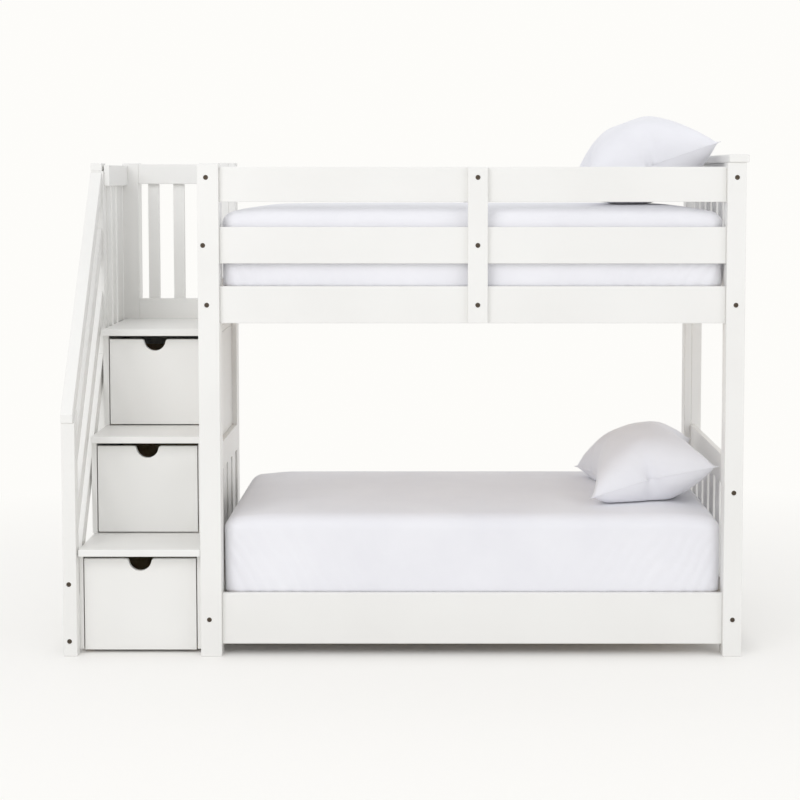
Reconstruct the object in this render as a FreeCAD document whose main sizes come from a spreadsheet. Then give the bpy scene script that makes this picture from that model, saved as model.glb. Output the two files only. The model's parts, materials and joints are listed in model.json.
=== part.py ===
"""Bunk bed with storage stairs: two twin decks, a drawer staircase on the left and guard rails.

The origin is the middle of the footprint on the floor. +X runs from the stairs to the headboards,
-Y is the front, where the drawers pull out, and +Z is up. Sizes are in millimetres.
Depths named ..._depth or ..._front are counted from the front faces of the front posts.
"""
import FreeCAD, Part
import math
import os
import re

import Sketcher

V = FreeCAD.Vector

# ---------------------------------------------------------------- driving sizes

SIZES = [
    # mattresses and pillows
    ("mattress_length", 1905, "twin mattress, along X"),
    ("mattress_width", 991, "twin mattress, along Y"),
    ("mattress_height", 318, "from its base to the top of its crown"),
    ("mattress_crown", 14, "rise of the top from its edges to its middle"),
    ("mattress_side_swell", 5, "how far the sides bow out at half height"),
    ("mattress_top_round", 52, "radius of the upper edges"),
    ("mattress_base_round", 18, "radius of the lower edges"),
    ("mattress_end_round", 48, "radius of the upright corners and ends"),
    ("mattress_end_gap", 2, "room between mattress and front posts"),
    ("mattress_side_gap", 3, "room between mattress and side rails"),
    ("mattress_drop", 11, "mattress underside below the tops of the side rails"),
    ("pillow_length", 716, "long side, across the bed"),
    ("pillow_edge", 5, "half thickness at the closed ends"),
    ("pillow_side_draw", 12, "how far the long seams draw in between the corners"),
    ("pillow_head_gap", 18, "room between the pillow's raised seam and the headboard"),
    ("pillow_rest_gap", 0.3, "room between pillow and mattress"),
    ("pillow_front_depth", 170, "front end of the pillows behind the front posts' faces"),
    ("lower_pillow_width", 516, "short side, seam to seam"),
    ("lower_pillow_top_swell", 175, "seam to crown"),
    ("lower_pillow_base_swell", 125, "seam to underside"),
    ("lower_pillow_tilt", 14, "degrees that the pillow leans up the headboard"),
    ("lower_pillow_rise", 92, "height of its seam's middle above the mattress"),
    ("upper_pillow_width", 570, "short side, seam to seam"),
    ("upper_pillow_top_swell", 200, "seam to crown"),
    ("upper_pillow_base_swell", 155, "seam to underside"),
    ("upper_pillow_tilt", 19.5, "degrees that the pillow leans up the headboard"),
    ("upper_pillow_rise", 147, "height of its seam's middle above the mattress"),
    # bed legs
    ("post_depth", 80, "front and back legs, along Y"),
    ("left_post_width", 80, "front left leg"),
    ("right_post_width", 71, "front right leg"),
    ("back_post_width", 44, "outer part of a back leg"),
    ("leg_board_width", 30, "board on the inner face of a back leg"),
    ("back_left_shift", 53, "how far the back left leg stands out beyond the front left one"),
    ("front_left_rise", 10, "front left leg above the top guards"),
    ("right_rise", 15.5, "right legs above the top guards, under the cap"),
    ("back_left_rise", 24, "back left leg above the top guards"),
    ("cap_width", 76, "headboard cap, along X"),
    ("cap_height", 31.5, "headboard cap"),
    ("cap_side_overhang", 9.5, "beyond the right legs"),
    ("cap_end_overhang", 6, "beyond the front and back"),
    # side rails and guards
    ("rail_thick", 25, "side rails and guard rails"),
    ("rail_recess", 20, "leg face to rail face"),
    ("lower_rail_base", 44, "underside of the lower side rails"),
    ("lower_rail_height", 196, ""),
    ("upper_rail_base", 1274, "underside of the upper side rails"),
    ("upper_rail_height", 140, ""),
    ("mid_guard_gap", 86, "upper side rails to the middle guard rails"),
    ("mid_guard_height", 138, ""),
    ("top_guard_gap", 94, "middle guard rails to the top ones"),
    ("top_guard_height", 132, ""),
    ("brace_width", 75, "upright boards at half length"),
    ("brace_thick", 19, ""),
    ("brace_offset", 19, "towards the headboard from the middle of the rails"),
    ("brace_end_inset", 2, "short of the rails' outer edges"),
    # decks
    ("ledger_thick", 30, "cleat under the slats"),
    ("ledger_height", 40, ""),
    ("ledger_end_gap", 1, "ledger to the back right leg"),
    ("deck_slat_thick", 20, ""),
    ("deck_slat_width", 70, ""),
    ("deck_slat_count", 13, ""),
    ("deck_slat_end_gap", 1, "slat end to rail"),
    ("deck_first_slat", 30, "leg to first slat"),
    # headboards and footboard
    ("head_thick", 22, "headboard rails"),
    ("head_slat_thick", 14, ""),
    ("head_slat_width", 95, ""),
    ("head_slat_count", 6, ""),
    ("lower_head_top", 741, "top of the lower headboard and footboard"),
    ("lower_head_rail", 111, "height of their top rail"),
    ("lower_head_base", 150, "underside of their bottom rail"),
    ("head_base_rail", 100, "height of the bottom rails"),
    ("upper_head_drop", 14, "upper headboard's underside below the tops of the side rails"),
    ("upper_head_rail", 90, "height of its top rail"),
    ("foot_thick", 21, "footboard rails"),
    ("entry_post_front", 485, "front of the entry post"),
    ("entry_post_depth", 60, "along Y"),
    ("foot_guard_rail", 94, "height of the upper foot guard's top rail"),
    ("foot_guard_slat_width", 48, ""),
    ("foot_guard_slat_count", 3, ""),
    # staircase
    ("stair_width", 523, "outer face of the newel to the bed's left leg"),
    ("handrail_overhang", 1, "beyond the newel's outer face"),
    ("newel_width", 51.5, "newel and landing posts, along X"),
    ("newel_depth", 52, "along Y"),
    ("step_one_top", 411, ""),
    ("step_two_top", 805, ""),
    ("landing_drop", 68, "landing below the undersides of the upper side rails"),
    ("tread_thick", 27, ""),
    ("tread_overhang", 48, "nosing in front of the drawer faces"),
    ("tread_side_inset", 7, "tread end to the cabinet's outer face"),
    ("tread_end_gap", 0.5, "tread to the bed's left leg"),
    ("run", 250, "going of one step"),
    ("cabinet_side", 15, "left side panel"),
    ("cabinet_inner_side", 20, "side panel beside the bed"),
    ("cabinet_floor_gap", 15, "panels above the floor"),
    ("cabinet_back", 12, "back panel"),
    ("stile_depth", 20, "face frame, along Y"),
    ("left_stile_one", 15, "width of the left stile of drawer one"),
    ("left_stile_two", 20, ""),
    ("left_stile_three", 23, ""),
    ("right_stile_one", 20, "width of the right stile of drawer one"),
    ("right_stile_two", 48, ""),
    ("right_stile_three", 69, ""),
    ("shelf_thick", 20, "drawer shelves"),
    ("back_left_width", 70, "stair post at the back left"),
    ("back_right_width", 85, "stair post at the back right"),
    ("stair_post_rise", 22, "back stair posts above the top guards"),
    # balustrade
    ("landing_post_front", 600, "front of the landing post"),
    ("landing_post_depth", 50, ""),
    ("handrail_width", 46, ""),
    ("handrail_end", 33, "height of the handrail's foot and of its level end"),
    ("handrail_plumb", 60, "upright thickness of the sloping handrail"),
    ("handrail_foot_top", 929, "top of the handrail over the newel"),
    ("handrail_drop", 14, "handrail's upper end below the tops of the guards"),
    ("handrail_nose", 3, "in front of the newel"),
    ("handrail_level", 80, "length of the level end"),
    ("slope_rail_width", 20, ""),
    ("slope_rail_plumb", 104, "upright thickness of the sloping rails"),
    ("slope_rail_inset", 9, "from the newel's inner face"),
    ("slope_rail_first", 230, "handrail top to the first rail's top"),
    ("slope_rail_step", 260, "between rails"),
    ("slope_rail_count", 3, ""),
    ("stringer_thick", 21.5, "low rails between newel and landing post"),
    ("stringer_inset", 0.5, "from the newel's outer face"),
    ("stringer_height", 56, ""),
    ("stringer_low", 30, "underside of the lower one"),
    ("stringer_high", 250, "underside of the upper one"),
    # landing guards
    ("guard_slat_thick", 20, ""),
    ("guard_slat_width", 48, ""),
    ("side_guard_count", 2, "slats beside the landing"),
    ("side_guard_slat_width", 65, ""),
    ("side_guard_end_width", 123, "wide board between these slats and the back post"),
    ("side_guard_overlap", 90, "slats over the side panel"),
    ("side_guard_thick", 23, "rail beside the landing"),
    ("side_guard_rise", 11, "above the top guards"),
    ("side_guard_height", 86, ""),
    ("side_guard_lap", 40, "rail over the landing post"),
    ("back_guard_thick", 25, "rails behind the landing"),
    ("back_guard_rise", 18, "above the top guards"),
    ("back_guard_height", 86, "top rail"),
    ("back_guard_base", 90, "height of its bottom rail"),
    ("back_guard_count", 2, "slats behind the landing"),
    ("back_guard_first", 37.5, "left post to the first slat"),
    ("back_guard_last", 68, "last slat to the right post"),
    # drawers
    ("drawer_gap", 4, "face to stile"),
    ("drawer_top_gap", 18, "face to tread underside"),
    ("drawer_base_gap", 5, "face to the step below"),
    ("drawer_one_base", 12, "underside of the lowest face"),
    ("face_thick", 19, "drawer face"),
    ("box_back_gap", 4, "top drawer's box to the back panel"),
    ("box_wall", 12, ""),
    ("box_inset", 13, "box side to stile"),
    ("box_lift", 16, "box underside above the face's underside"),
    ("box_top_drop", 62, "box top below the face's top"),
    ("box_floor", 6, ""),
    ("box_floor_lift", 10, "box floor above the box underside"),
    ("runner_width", 34, ""),
    ("runner_height", 16, ""),
    ("runner_clearance", 0.3, "box to runner"),
    ("runner_setback", 4, "runner behind the face frame"),
    ("pull_drop", 47, "depth of the finger notch"),
    ("pull_round", 44, "radius of its round bottom"),
    ("pull_flare", 11, "rounding where it meets the top edge"),
    # fasteners
    ("bolt_head", 18, "diameter"),
    ("bolt_head_height", 5, ""),
    ("bolt_socket", 7, "diameter of the socket in the head"),
    ("bolt_socket_drop", 3, ""),
    ("bolt_shank", 8, "diameter"),
    ("bolt_shank_length", 55, ""),
    ("bolt_fit", 1, "bore over bolt, on the diameter"),
    ("bolt_sink", 8, "depth of the counterbore"),
    ("brace_bolt_length", 10, "shank in a brace"),
    ("brace_bolt_sink", 7, "counterbore in a brace"),
    ("top_bolt_lift", 26, "top guard's bolts above the rail's middle"),
    ("left_bolt_inset", 33, "bolts from the left leg's outer face"),
    ("mid_bolt_inset", 20, "the middle bolt of the left leg"),
    ("right_bolt_inset", 36, "bolts from the right leg's inner face"),
    ("back_bolt_inset", 22, "bolts from a back post's edge"),
    ("newel_bolt_inset", 22, "bolts from the newel's outer face"),
    ("newel_bolt_rest", 4, "wood left behind the newel's bolts"),
    # rounding
    ("board_round", 3, "edges of legs, rails and treads"),
    ("slat_round", 1.5, "edges of slats and small boards"),
]

# ---------------------------------------------------------------- places worked out from the sizes

PLACES = [
    ("bed_depth", "mattress_width + 2 * (mattress_side_gap + rail_thick + rail_recess)"),
    ("opening", "mattress_length + 2 * mattress_end_gap"),
    ("total_length", "handrail_overhang + stair_width + left_post_width + opening"
                     " + right_post_width + cap_side_overhang"),
    ("front", "-bed_depth / 2"),
    ("back", "bed_depth / 2"),
    ("newel_x", "-total_length / 2 + handrail_overhang"),
    ("left_x", "newel_x + stair_width"),
    ("inner_left", "left_x + left_post_width"),
    ("inner_right", "inner_left + opening"),
    ("right_x", "inner_right + right_post_width"),
    ("rail_front", "front + rail_recess"),
    ("rail_back", "back - rail_recess - rail_thick"),
    ("back_leg_y", "back - post_depth"),
    ("between_legs", "bed_depth - 2 * post_depth"),
    ("back_left_x", "left_x - back_left_shift"),
    ("back_left_inner", "back_left_x + back_post_width + leg_board_width"),
    ("back_right_inner", "right_x - back_post_width - leg_board_width"),
    ("brace_x", "(inner_left + inner_right - brace_width) / 2 + brace_offset"),
    ("upper_rail_top", "upper_rail_base + upper_rail_height"),
    ("mid_guard_base", "upper_rail_top + mid_guard_gap"),
    ("top_guard_base", "mid_guard_base + mid_guard_height + top_guard_gap"),
    ("guard_top", "top_guard_base + top_guard_height"),
    ("lower_mattress_base", "lower_rail_base + lower_rail_height - mattress_drop"),
    ("upper_mattress_base", "upper_rail_top - mattress_drop"),
    ("front_left_top", "guard_top + front_left_rise"),
    ("right_top", "guard_top + right_rise"),
    ("back_left_top", "guard_top + back_left_rise"),
    ("entry_post_top", "guard_top"),
    ("upper_head_base", "upper_rail_top - upper_head_drop"),
    ("head_x", "inner_right + (right_post_width - head_thick) / 2"),
    ("head_slat_x", "head_x + (head_thick - head_slat_thick) / 2"),
    ("head_gap", "(between_legs - head_slat_count * head_slat_width) / (head_slat_count + 1)"),
    ("head_step", "head_slat_width + head_gap"),
    ("foot_slat_x", "left_x + (foot_thick - head_slat_thick) / 2"),
    ("entry_y", "front + entry_post_front"),
    ("foot_guard_span", "entry_post_front - post_depth"),
    ("foot_guard_gap", "(foot_guard_span - foot_guard_slat_count * foot_guard_slat_width)"
                       " / (foot_guard_slat_count + 1)"),
    ("ledger_length", "back_right_inner - ledger_end_gap - inner_left"),
    ("deck_slat_length", "mattress_width + 2 * mattress_side_gap - 2 * deck_slat_end_gap"),
    ("deck_step", "(opening - 2 * deck_first_slat - deck_slat_width) / (deck_slat_count - 1)"),
    ("cabinet_x", "newel_x + newel_width"),
    ("cabinet_width", "left_x - cabinet_x"),
    ("cabinet_inner_x", "cabinet_x + cabinet_side"),
    ("cabinet_inner_width", "cabinet_width - cabinet_side - cabinet_inner_side"),
    ("face_one_y", "front + newel_depth"),
    ("face_two_y", "face_one_y + run"),
    ("face_three_y", "face_two_y + run"),
    ("cabinet_end_y", "back_leg_y"),
    ("post_front_y", "front + landing_post_front"),
    ("post_end_y", "post_front_y + landing_post_depth"),
    ("box_depth", "cabinet_end_y - cabinet_back - box_back_gap - face_three_y - face_thick"),
    ("landing_top", "upper_rail_base - landing_drop"),
    ("stair_post_top", "guard_top + stair_post_rise"),
    ("handrail_head_top", "guard_top - handrail_drop"),
    ("newel_bolt_length", "newel_depth - bolt_sink - newel_bolt_rest"),
    ("slope", "(handrail_head_top - handrail_foot_top) / landing_post_front"),
    ("side_guard_span", "cabinet_end_y - post_end_y"),
    ("side_guard_gap", "(side_guard_span - side_guard_end_width"
                       " - side_guard_count * side_guard_slat_width) / (side_guard_count + 1)"),
    ("side_guard_top", "guard_top + side_guard_rise"),
    ("back_right_x", "back_left_x - back_right_width"),
    ("back_guard_x", "cabinet_x + back_left_width"),
    ("back_guard_span", "back_right_x - back_guard_x"),
    ("back_guard_step", "(back_guard_span - back_guard_first - back_guard_last - guard_slat_width)"
                        " / (back_guard_count - 1)"),
    ("back_guard_top", "guard_top + back_guard_rise"),
    ("pull_half_width", "sqrt(pull_round ^ 2 - (pull_round - pull_drop) ^ 2)"),
]

ALIASES = [name for name, _, _ in SIZES] + [name for name, _ in PLACES]
WORD = re.compile(r"[a-z_]{3,}")

doc = FreeCAD.newDocument("BunkBed")
sheet = doc.addObject("Spreadsheet::Sheet", "Sizes")
nodes = []


def fill_sheet():
    """Writes each driving size, then each place that follows from them."""
    for row, (name, value, meaning) in enumerate(SIZES, start=1):
        sheet.set(f"A{row}", name)
        sheet.set(f"B{row}", str(value))
        sheet.set(f"C{row}", meaning)
        sheet.setAlias(f"B{row}", name)
    for row, (name, formula) in enumerate(PLACES, start=len(SIZES) + 1):
        sheet.set(f"A{row}", name)
        sheet.set(f"B{row}", "=" + formula)
        sheet.setAlias(f"B{row}", name)
    doc.recompute()


def size(text):
    """What a size, or a formula of sizes, comes to."""
    return float(sheet.evalExpression(bound(text)))


def bound(text):
    """An expression in which each name of a size is read from the sheet."""
    def read(match):
        word = match.group()
        return "Sizes." + word if word in ALIASES else word
    return WORD.sub(read, str(text))


def bind(item, prop, text):
    item.setExpression(prop, bound(text))


def place(item, at):
    for axis, text in zip("xyz", at):
        bind(item, "Placement.Base." + axis, text)


def origin_feature(body, role):
    return next(item for item in body.Origin.OriginFeatures if item.Role == role)


def keep(item, label):
    """Makes a shape a named sub-part."""
    item.Label = label
    nodes.append(item)
    return item


# ---------------------------------------------------------------- building blocks

def new_sketch(body, role, lift="0"):
    sketch = body.newObject("Sketcher::SketchObject", body.Name + "_sketch")
    sketch.AttachmentSupport = [(origin_feature(body, role), "")]
    sketch.MapMode = "FlatFace"
    bind(sketch, "AttachmentOffset.Base.z", lift)
    return sketch


def fix_point(sketch, geometry, point, x, y):
    """Ties one point of a sketch to its two coordinates."""
    for kind, text in (("DistanceX", x), ("DistanceY", y)):
        index = sketch.addConstraint(Sketcher.Constraint(kind, geometry, point, 1.0))
        bind(sketch, f"Constraints[{index}]", text)


def outline(sketch, points):
    """A closed outline of straight lines through points given as pairs of expressions."""
    count = len(points)
    turn = 2 * math.pi / count
    start = [V(100 * math.cos(i * turn), 100 * math.sin(i * turn), 0) for i in range(count)]
    lines = [Part.LineSegment(start[i], start[(i + 1) % count]) for i in range(count)]
    sketch.addGeometry(lines, False)
    joints = [Sketcher.Constraint("Coincident", i, 2, (i + 1) % count, 1) for i in range(count)]
    sketch.addConstraint(joints)
    for i, (x, y) in enumerate(points):
        fix_point(sketch, i, 1, x, y)


def round_edges(body, radius):
    """Rounds every edge that the body has so far."""
    doc.recompute()
    base = body.Tip
    fillet = body.newObject("PartDesign::Fillet", body.Name + "_round")
    fillet.Base = (base, [f"Edge{i + 1}" for i in range(len(base.Shape.Edges))])
    bind(fillet, "Radius", radius)
    body.Tip = fillet


def board(name, at, extent, radius="board_round"):
    """A rectangular board: its low corner, its three sizes and the rounding of its edges."""
    width, depth, height = extent
    body = doc.addObject("PartDesign::Body", name)
    sketch = new_sketch(body, "XY_Plane")
    outline(sketch, [("0", "0"), (width, "0"), (width, depth), ("0", depth)])
    pad = body.newObject("PartDesign::Pad", name + "_pad")
    pad.Profile = sketch
    bind(pad, "Length", height)
    round_edges(body, radius)
    place(body, at)
    return body


def profile_board(name, at, points, thickness, radius="board_round"):
    """A board cut to an outline in the YZ plane, with its thickness along X."""
    body = doc.addObject("PartDesign::Body", name)
    sketch = new_sketch(body, "YZ_Plane")
    outline(sketch, points)
    pad = body.newObject("PartDesign::Pad", name + "_pad")
    pad.Profile = sketch
    bind(pad, "Length", thickness)
    round_edges(body, radius)
    place(body, at)
    return body


def row_of(body, axis, count, step):
    """Repeats a whole body along one axis."""
    pattern = body.newObject("PartDesign::LinearPattern", body.Name + "_row")
    pattern.TransformMode = "Whole shape"
    pattern.Direction = (origin_feature(body, axis + "_Axis"), [""])
    pattern.Mode = "Spacing"
    bind(pattern, "Occurrences", count)
    bind(pattern, "Offset", step)
    body.Tip = pattern
    return body


def group(name, bodies):
    """Several solids that share one node."""
    compound = doc.addObject("Part::Compound", name)
    compound.Links = bodies
    return compound


def pocket_circles(body, points, diameter, depth, from_back):
    """Round pockets in the front face of a board, or in its back face."""
    sketch = new_sketch(body, "XZ_Plane", "-(" + from_back + ")" if from_back else "0")
    for index, (x, z) in enumerate(points):
        sketch.addGeometry(Part.Circle(V(20, 20 + 30 * index, 0), V(0, 0, 1), 4), False)
        fix_point(sketch, index, 3, x, z)
        radius = sketch.addConstraint(Sketcher.Constraint("Radius", index, 4.0))
        bind(sketch, f"Constraints[{radius}]", f"({diameter}) / 2")
    pocket = body.newObject("PartDesign::Pocket", body.Name + "_pocket")
    pocket.Profile = sketch
    pocket.Reversed = bool(from_back)
    bind(pocket, "Length", depth)
    body.Tip = pocket
    return pocket


bolts = []


def bolt(at, length, facing_back):
    """A socket-head bolt along Y, with its head's outer face at the given point."""
    number = len(bolts) + 1
    turn = 90 if facing_back else -90
    parts = []
    for part, diameter, height, start in (
            ("head", "bolt_head", "bolt_head_height", "0"),
            ("shank", "bolt_shank", "(" + length + ") + bolt_head_height", "0"),
            ("socket", "bolt_socket", "bolt_socket_drop", "0")):
        rod = doc.addObject("Part::Cylinder", f"bolt_{number}_{part}")
        bind(rod, "Radius", diameter + " / 2")
        bind(rod, "Height", height)
        rod.Placement.Rotation = FreeCAD.Rotation(V(1, 0, 0), turn)
        place(rod, at)
        parts.append(rod)
    solid = doc.addObject("Part::Fuse", f"bolt_{number}_solid")
    solid.Base, solid.Tool = parts[0], parts[1]
    done = doc.addObject("Part::Cut", f"bolt_{number}")
    done.Base, done.Tool = solid, parts[2]
    bolts.append(done)


def bolted(body, at, points, depth="", sink="bolt_sink", length="bolt_shank_length"):
    """Counterbores a board and puts a bolt in each bore; depth is set for bolts in its back."""
    doc.recompute()
    before = body.Shape.Volume
    pocket_circles(body, points, "bolt_head + bolt_fit", sink, depth)
    pocket_circles(body, points, "bolt_shank + bolt_fit", f"({sink}) + ({length})", depth)
    doc.recompute()
    bore = math.pi / 4 * (size("bolt_head") + size("bolt_fit")) ** 2
    if before - body.Shape.Volume < len(points) * bore * size("brace_bolt_sink") * 0.9:
        raise RuntimeError(body.Name + ": the bores cut nothing")
    x, y, z = at
    face = f"{y} + ({depth}) - ({sink}) + bolt_head_height" if depth else (
        f"{y} + ({sink}) - bolt_head_height")
    for across, up in points:
        bolt((f"{x} + {across}", face, f"{z} + {up}"), length, bool(depth))
    return body


# ---------------------------------------------------------------- the bed's legs and cap

def rail_bolt_heights(names):
    heights = {
        "top": "top_guard_base + top_guard_height / 2 + top_bolt_lift",
        "mid": "mid_guard_base + mid_guard_height / 2",
        "deck": "upper_rail_base + upper_rail_height / 2",
        "head": "lower_head_top - lower_head_rail",
        "low": "lower_rail_base + lower_rail_height / 2",
    }
    return [heights[name] for name in names]


def make_legs():
    at = ("left_x", "front", "0")
    leg = board("front_left_post", at, ("left_post_width", "post_depth", "front_left_top"))
    top, mid, deck, low = rail_bolt_heights(["top", "mid", "deck", "low"])
    points = [("left_bolt_inset", top), ("mid_bolt_inset", mid), ("left_bolt_inset", deck),
              ("left_bolt_inset", low)]
    keep(bolted(leg, at, points), "front_left_post")

    at = ("inner_right", "front", "0")
    leg = board("front_right_post", at, ("right_post_width", "post_depth", "right_top"))
    heights = rail_bolt_heights(["top", "deck", "head", "low"])
    keep(bolted(leg, at, [("right_bolt_inset", up) for up in heights]), "front_right_post")

    heights = rail_bolt_heights(["top", "mid", "deck", "low"])
    points = [("back_bolt_inset", up) for up in heights]
    for name, x, top in (("back_left_post", "back_left_x", "back_left_top"),
                         ("back_right_post", "right_x - back_post_width", "right_top")):
        at = (x, "back_leg_y", "0")
        leg = board(name, at, ("back_post_width", "post_depth", top))
        keep(bolted(leg, at, points, depth="post_depth"), name)

    leg_boards = []
    for name, x, top in (
            ("back_left_leg_board", "back_left_inner - leg_board_width", "back_left_top"),
            ("back_right_leg_board", "back_right_inner", "right_top")):
        leg_boards.append(board(name, (x, "back_leg_y", "0"),
                                ("leg_board_width", "post_depth", top)))
    keep(group("back_leg_boards", leg_boards), "back_leg_boards")

    cap_x = "right_x + cap_side_overhang - cap_width"
    keep(board("headboard_cap", (cap_x, "front - cap_end_overhang", "right_top"),
               ("cap_width", "bed_depth + 2 * cap_end_overhang", "cap_height"),
               "2 * board_round"), "headboard_cap")


# ---------------------------------------------------------------- side rails, guards and braces

def make_side_rails():
    sides = [("front", "inner_left", "rail_front", "opening"),
             ("back", "back_left_inner", "rail_back", "back_right_inner - back_left_inner")]
    for side, x, y, length in sides:
        for level in ("lower", "upper"):
            name = f"{level}_{side}_rail"
            keep(board(name, (x, y, f"{level}_rail_base"),
                       (length, "rail_thick", f"{level}_rail_height")), name)
        guards = [board(f"{level}_{side}_guard", (x, y, f"{level}_guard_base"),
                        (length, "rail_thick", f"{level}_guard_height"))
                  for level in ("mid", "top")]
        keep(group(f"{side}_guard_rails", guards), f"{side}_guard_rails")


def make_braces():
    base = "upper_rail_base + brace_end_inset"
    extent = ("brace_width", "brace_thick", f"guard_top - brace_end_inset - ({base})")
    heights = [f"{up} - ({base})" for up in rail_bolt_heights(["top", "mid", "deck"])]
    points = [("brace_width / 2", up) for up in heights]
    braces = []
    for name, y, depth in (("front_brace", "rail_front - brace_thick", ""),
                           ("back_brace", "rail_back + rail_thick", "brace_thick")):
        at = ("brace_x", y, base)
        brace = board(name, at, extent)
        braces.append(bolted(brace, at, points, depth, "brace_bolt_sink", "brace_bolt_length"))
    keep(group("guard_braces", braces), "guard_braces")


def make_decks():
    ledgers = []
    for name, base in (("lower", "lower_mattress_base"), ("upper", "upper_mattress_base")):
        ledger_z = f"{base} - deck_slat_thick - ledger_height"
        for side, y in (("front", "rail_front + rail_thick"), ("back", "rail_back - ledger_thick")):
            ledgers.append(board(f"{name}_{side}_ledger", ("inner_left", y, ledger_z),
                                 ("ledger_length", "ledger_thick", "ledger_height"),
                                 "slat_round"))
        slats = board(f"{name}_deck_slats",
                      ("inner_left + deck_first_slat",
                       "rail_front + rail_thick + deck_slat_end_gap",
                       f"{base} - deck_slat_thick"),
                      ("deck_slat_width", "deck_slat_length", "deck_slat_thick"), "slat_round")
        keep(row_of(slats, "X", "deck_slat_count", "deck_step"), f"{name}_deck_slats")
    keep(group("deck_ledgers", ledgers), "deck_ledgers")


# ---------------------------------------------------------------- headboards and foot end

def make_headboards():
    boards = [("lower_headboard", "head_x", "head_thick", "head_slat_x",
               "lower_head_base", "lower_head_top", "lower_head_rail"),
              ("upper_headboard", "head_x", "head_thick", "head_slat_x",
               "upper_head_base", "right_top", "upper_head_rail"),
              ("footboard", "left_x", "foot_thick", "foot_slat_x",
               "lower_head_base", "lower_head_top", "lower_head_rail")]
    for name, x, thick, slat_x, base, top, rail in boards:
        y = "front + post_depth"
        rails = [board(f"{name}_top_rail", (x, y, f"{top} - {rail}"),
                       (thick, "between_legs", rail)),
                 board(f"{name}_base_rail", (x, y, base),
                       (thick, "between_legs", "head_base_rail"))]
        keep(group(f"{name}_rails", rails), f"{name}_rails")
        slats = board(f"{name}_slats", (slat_x, f"{y} + head_gap", f"{base} + head_base_rail"),
                      ("head_slat_thick", "head_slat_width",
                       f"{top} - {rail} - ({base} + head_base_rail)"), "slat_round")
        keep(row_of(slats, "Y", "head_slat_count", "head_step"), f"{name}_slats")


def make_upper_foot_end():
    """The board across the upper deck's foot, and the short guard in front of the entry."""
    y = "front + post_depth"
    keep(board("upper_foot_rail", ("left_x", y, "upper_rail_base"),
               ("foot_thick", "between_legs", "upper_rail_height")), "upper_foot_rail")
    keep(board("entry_post", ("left_x", "entry_y", "upper_rail_top"),
               ("foot_thick", "entry_post_depth", "entry_post_top - upper_rail_top")), "entry_post")
    rail_z = "entry_post_top - foot_guard_rail"
    rail = board("foot_guard_rail", ("left_x", y, rail_z),
                 ("foot_thick", "foot_guard_span", "foot_guard_rail"))
    slats = board("foot_guard_slats", ("foot_slat_x", f"{y} + foot_guard_gap", "upper_rail_top"),
                  ("head_slat_thick", "foot_guard_slat_width", f"{rail_z} - upper_rail_top"),
                  "slat_round")
    row_of(slats, "Y", "foot_guard_slat_count", "foot_guard_slat_width + foot_guard_gap")
    keep(group("foot_guard", [rail, slats]), "foot_guard")


# ---------------------------------------------------------------- staircase

STEPS = [("one", "step_one_top", "face_one_y", "0"),
         ("two", "step_two_top", "face_two_y", "step_one_top"),
         ("three", "landing_top", "face_three_y", "step_two_top")]


def make_treads():
    width = "cabinet_width - tread_side_inset - tread_end_gap"
    ends = ["face_two_y + stile_depth", "face_three_y + stile_depth", "cabinet_end_y"]
    names = ["tread_one", "tread_two", "landing_tread"]
    for (_, top, face, _), end, name in zip(STEPS, ends, names):
        y = f"{face} - tread_overhang"
        keep(board(name, ("cabinet_x + tread_side_inset", y, f"{top} - tread_thick"),
                   (width, f"{end} - ({y})", "tread_thick")), name)


def make_cabinet():
    """Stepped side panels, back panel, face frame and the shelves under the upper drawers."""
    base = "cabinet_floor_gap"
    start = "newel_depth + stile_depth"
    second = f"{start} + run"
    third = f"{second} + run"
    end = "bed_depth - post_depth"
    tops = [f"{top} - tread_thick" for _, top, _, _ in STEPS]
    points = [(start, base), (end, base), (end, tops[2]), (third, tops[2]), (third, tops[1]),
              (second, tops[1]), (second, tops[0]), (start, tops[0])]
    for name, x, thick in (("stair_side_panel", "cabinet_x", "cabinet_side"),
                           ("stair_inner_panel", "left_x - cabinet_inner_side",
                            "cabinet_inner_side")):
        keep(profile_board(name, (x, "front", "0"), points, thick, "slat_round"), name)
    keep(board("stair_back_panel",
               ("cabinet_inner_x", "cabinet_end_y - cabinet_back", base),
               ("cabinet_inner_width", "cabinet_back", f"{tops[2]} - {base}"),
               "slat_round"), "stair_back_panel")
    stiles = []
    for (name, top, face, floor) in STEPS:
        foot = base if name == "one" else floor
        height = f"{top} - tread_thick - {foot}"
        stiles.append(board(f"left_stile_{name}", ("cabinet_x", face, foot),
                            (f"left_stile_{name}", "stile_depth", height), "slat_round"))
        stiles.append(board(f"right_stile_{name}", (f"left_x - right_stile_{name}", face, foot),
                            (f"right_stile_{name}", "stile_depth", height), "slat_round"))
    keep(group("stair_stiles", stiles), "stair_stiles")
    shelves = []
    for name, top, y in (("lower_drawer_shelf", "step_one_top", "face_two_y + stile_depth"),
                         ("upper_drawer_shelf", "step_two_top", "face_three_y + stile_depth")):
        shelves.append(board(name, ("cabinet_inner_x", y, f"{top} - shelf_thick"),
                             ("cabinet_inner_width", f"cabinet_end_y - cabinet_back - ({y})",
                              "shelf_thick"), "slat_round"))
    keep(group("drawer_shelves", shelves), "drawer_shelves")


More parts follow.
